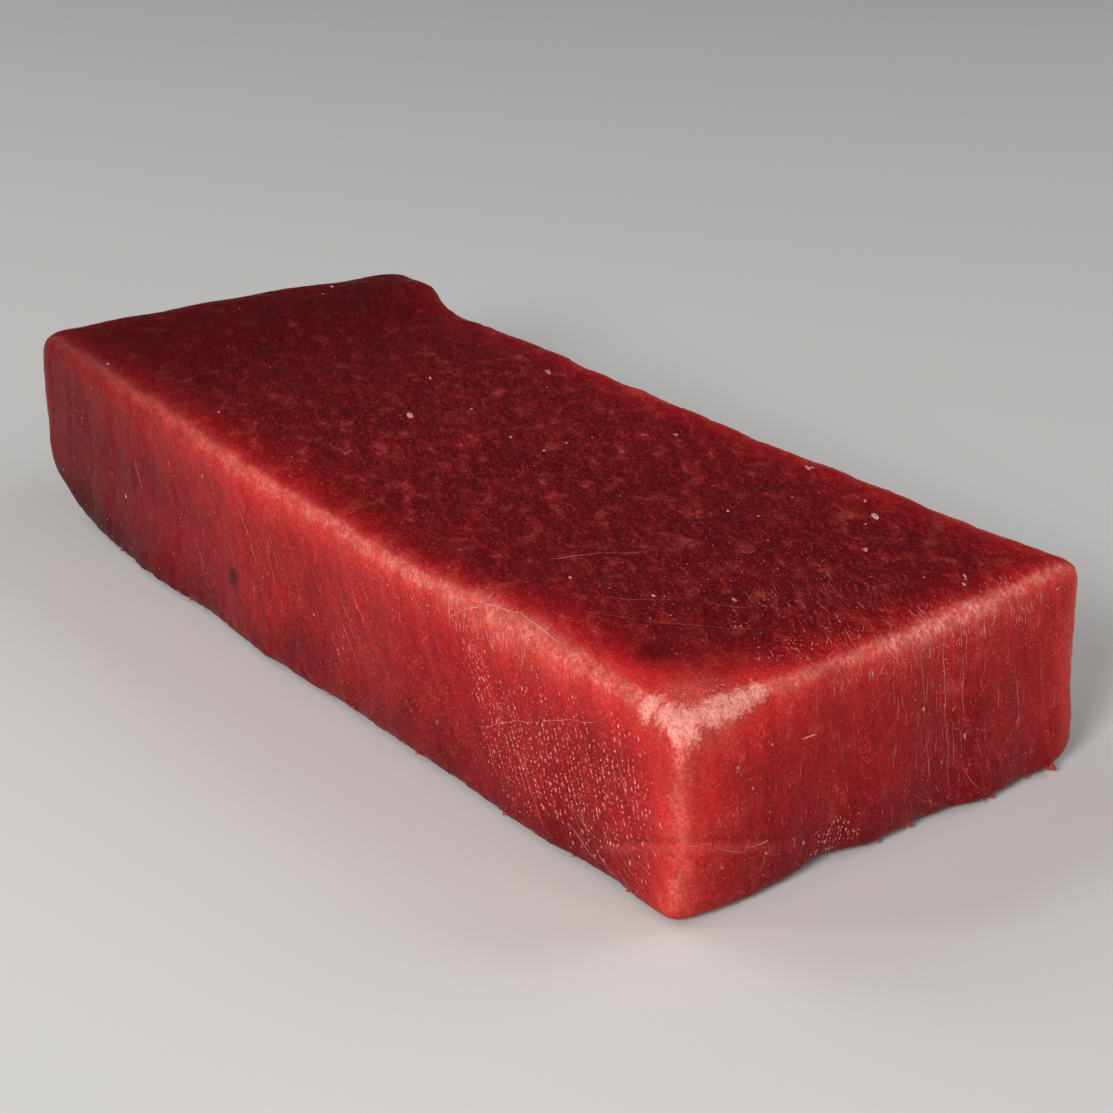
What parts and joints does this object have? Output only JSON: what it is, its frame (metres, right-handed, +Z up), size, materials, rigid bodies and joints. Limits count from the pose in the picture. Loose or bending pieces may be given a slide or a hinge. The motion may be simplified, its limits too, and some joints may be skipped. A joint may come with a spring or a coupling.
{
  "type": "raw tuna steak",
  "caption": "Oblong block of raw lean tuna loin, cut square with soft rounded edges, lying flat on its underside.",
  "frame": {"origin": "middle of the base of the bounding box, on the surface that the block lies on", "axes": "+X along the block towards its clean-cut end, -Y out of the long front side, +Z up"},
  "size_m": [0.1778, 0.0772, 0.0329],
  "materials": {
    "raw_flesh": "raw, moist and satin"
  },
  "bodies": {
    "root": {"tuna_steak": "raw_flesh"}
  },
  "joints": []
}
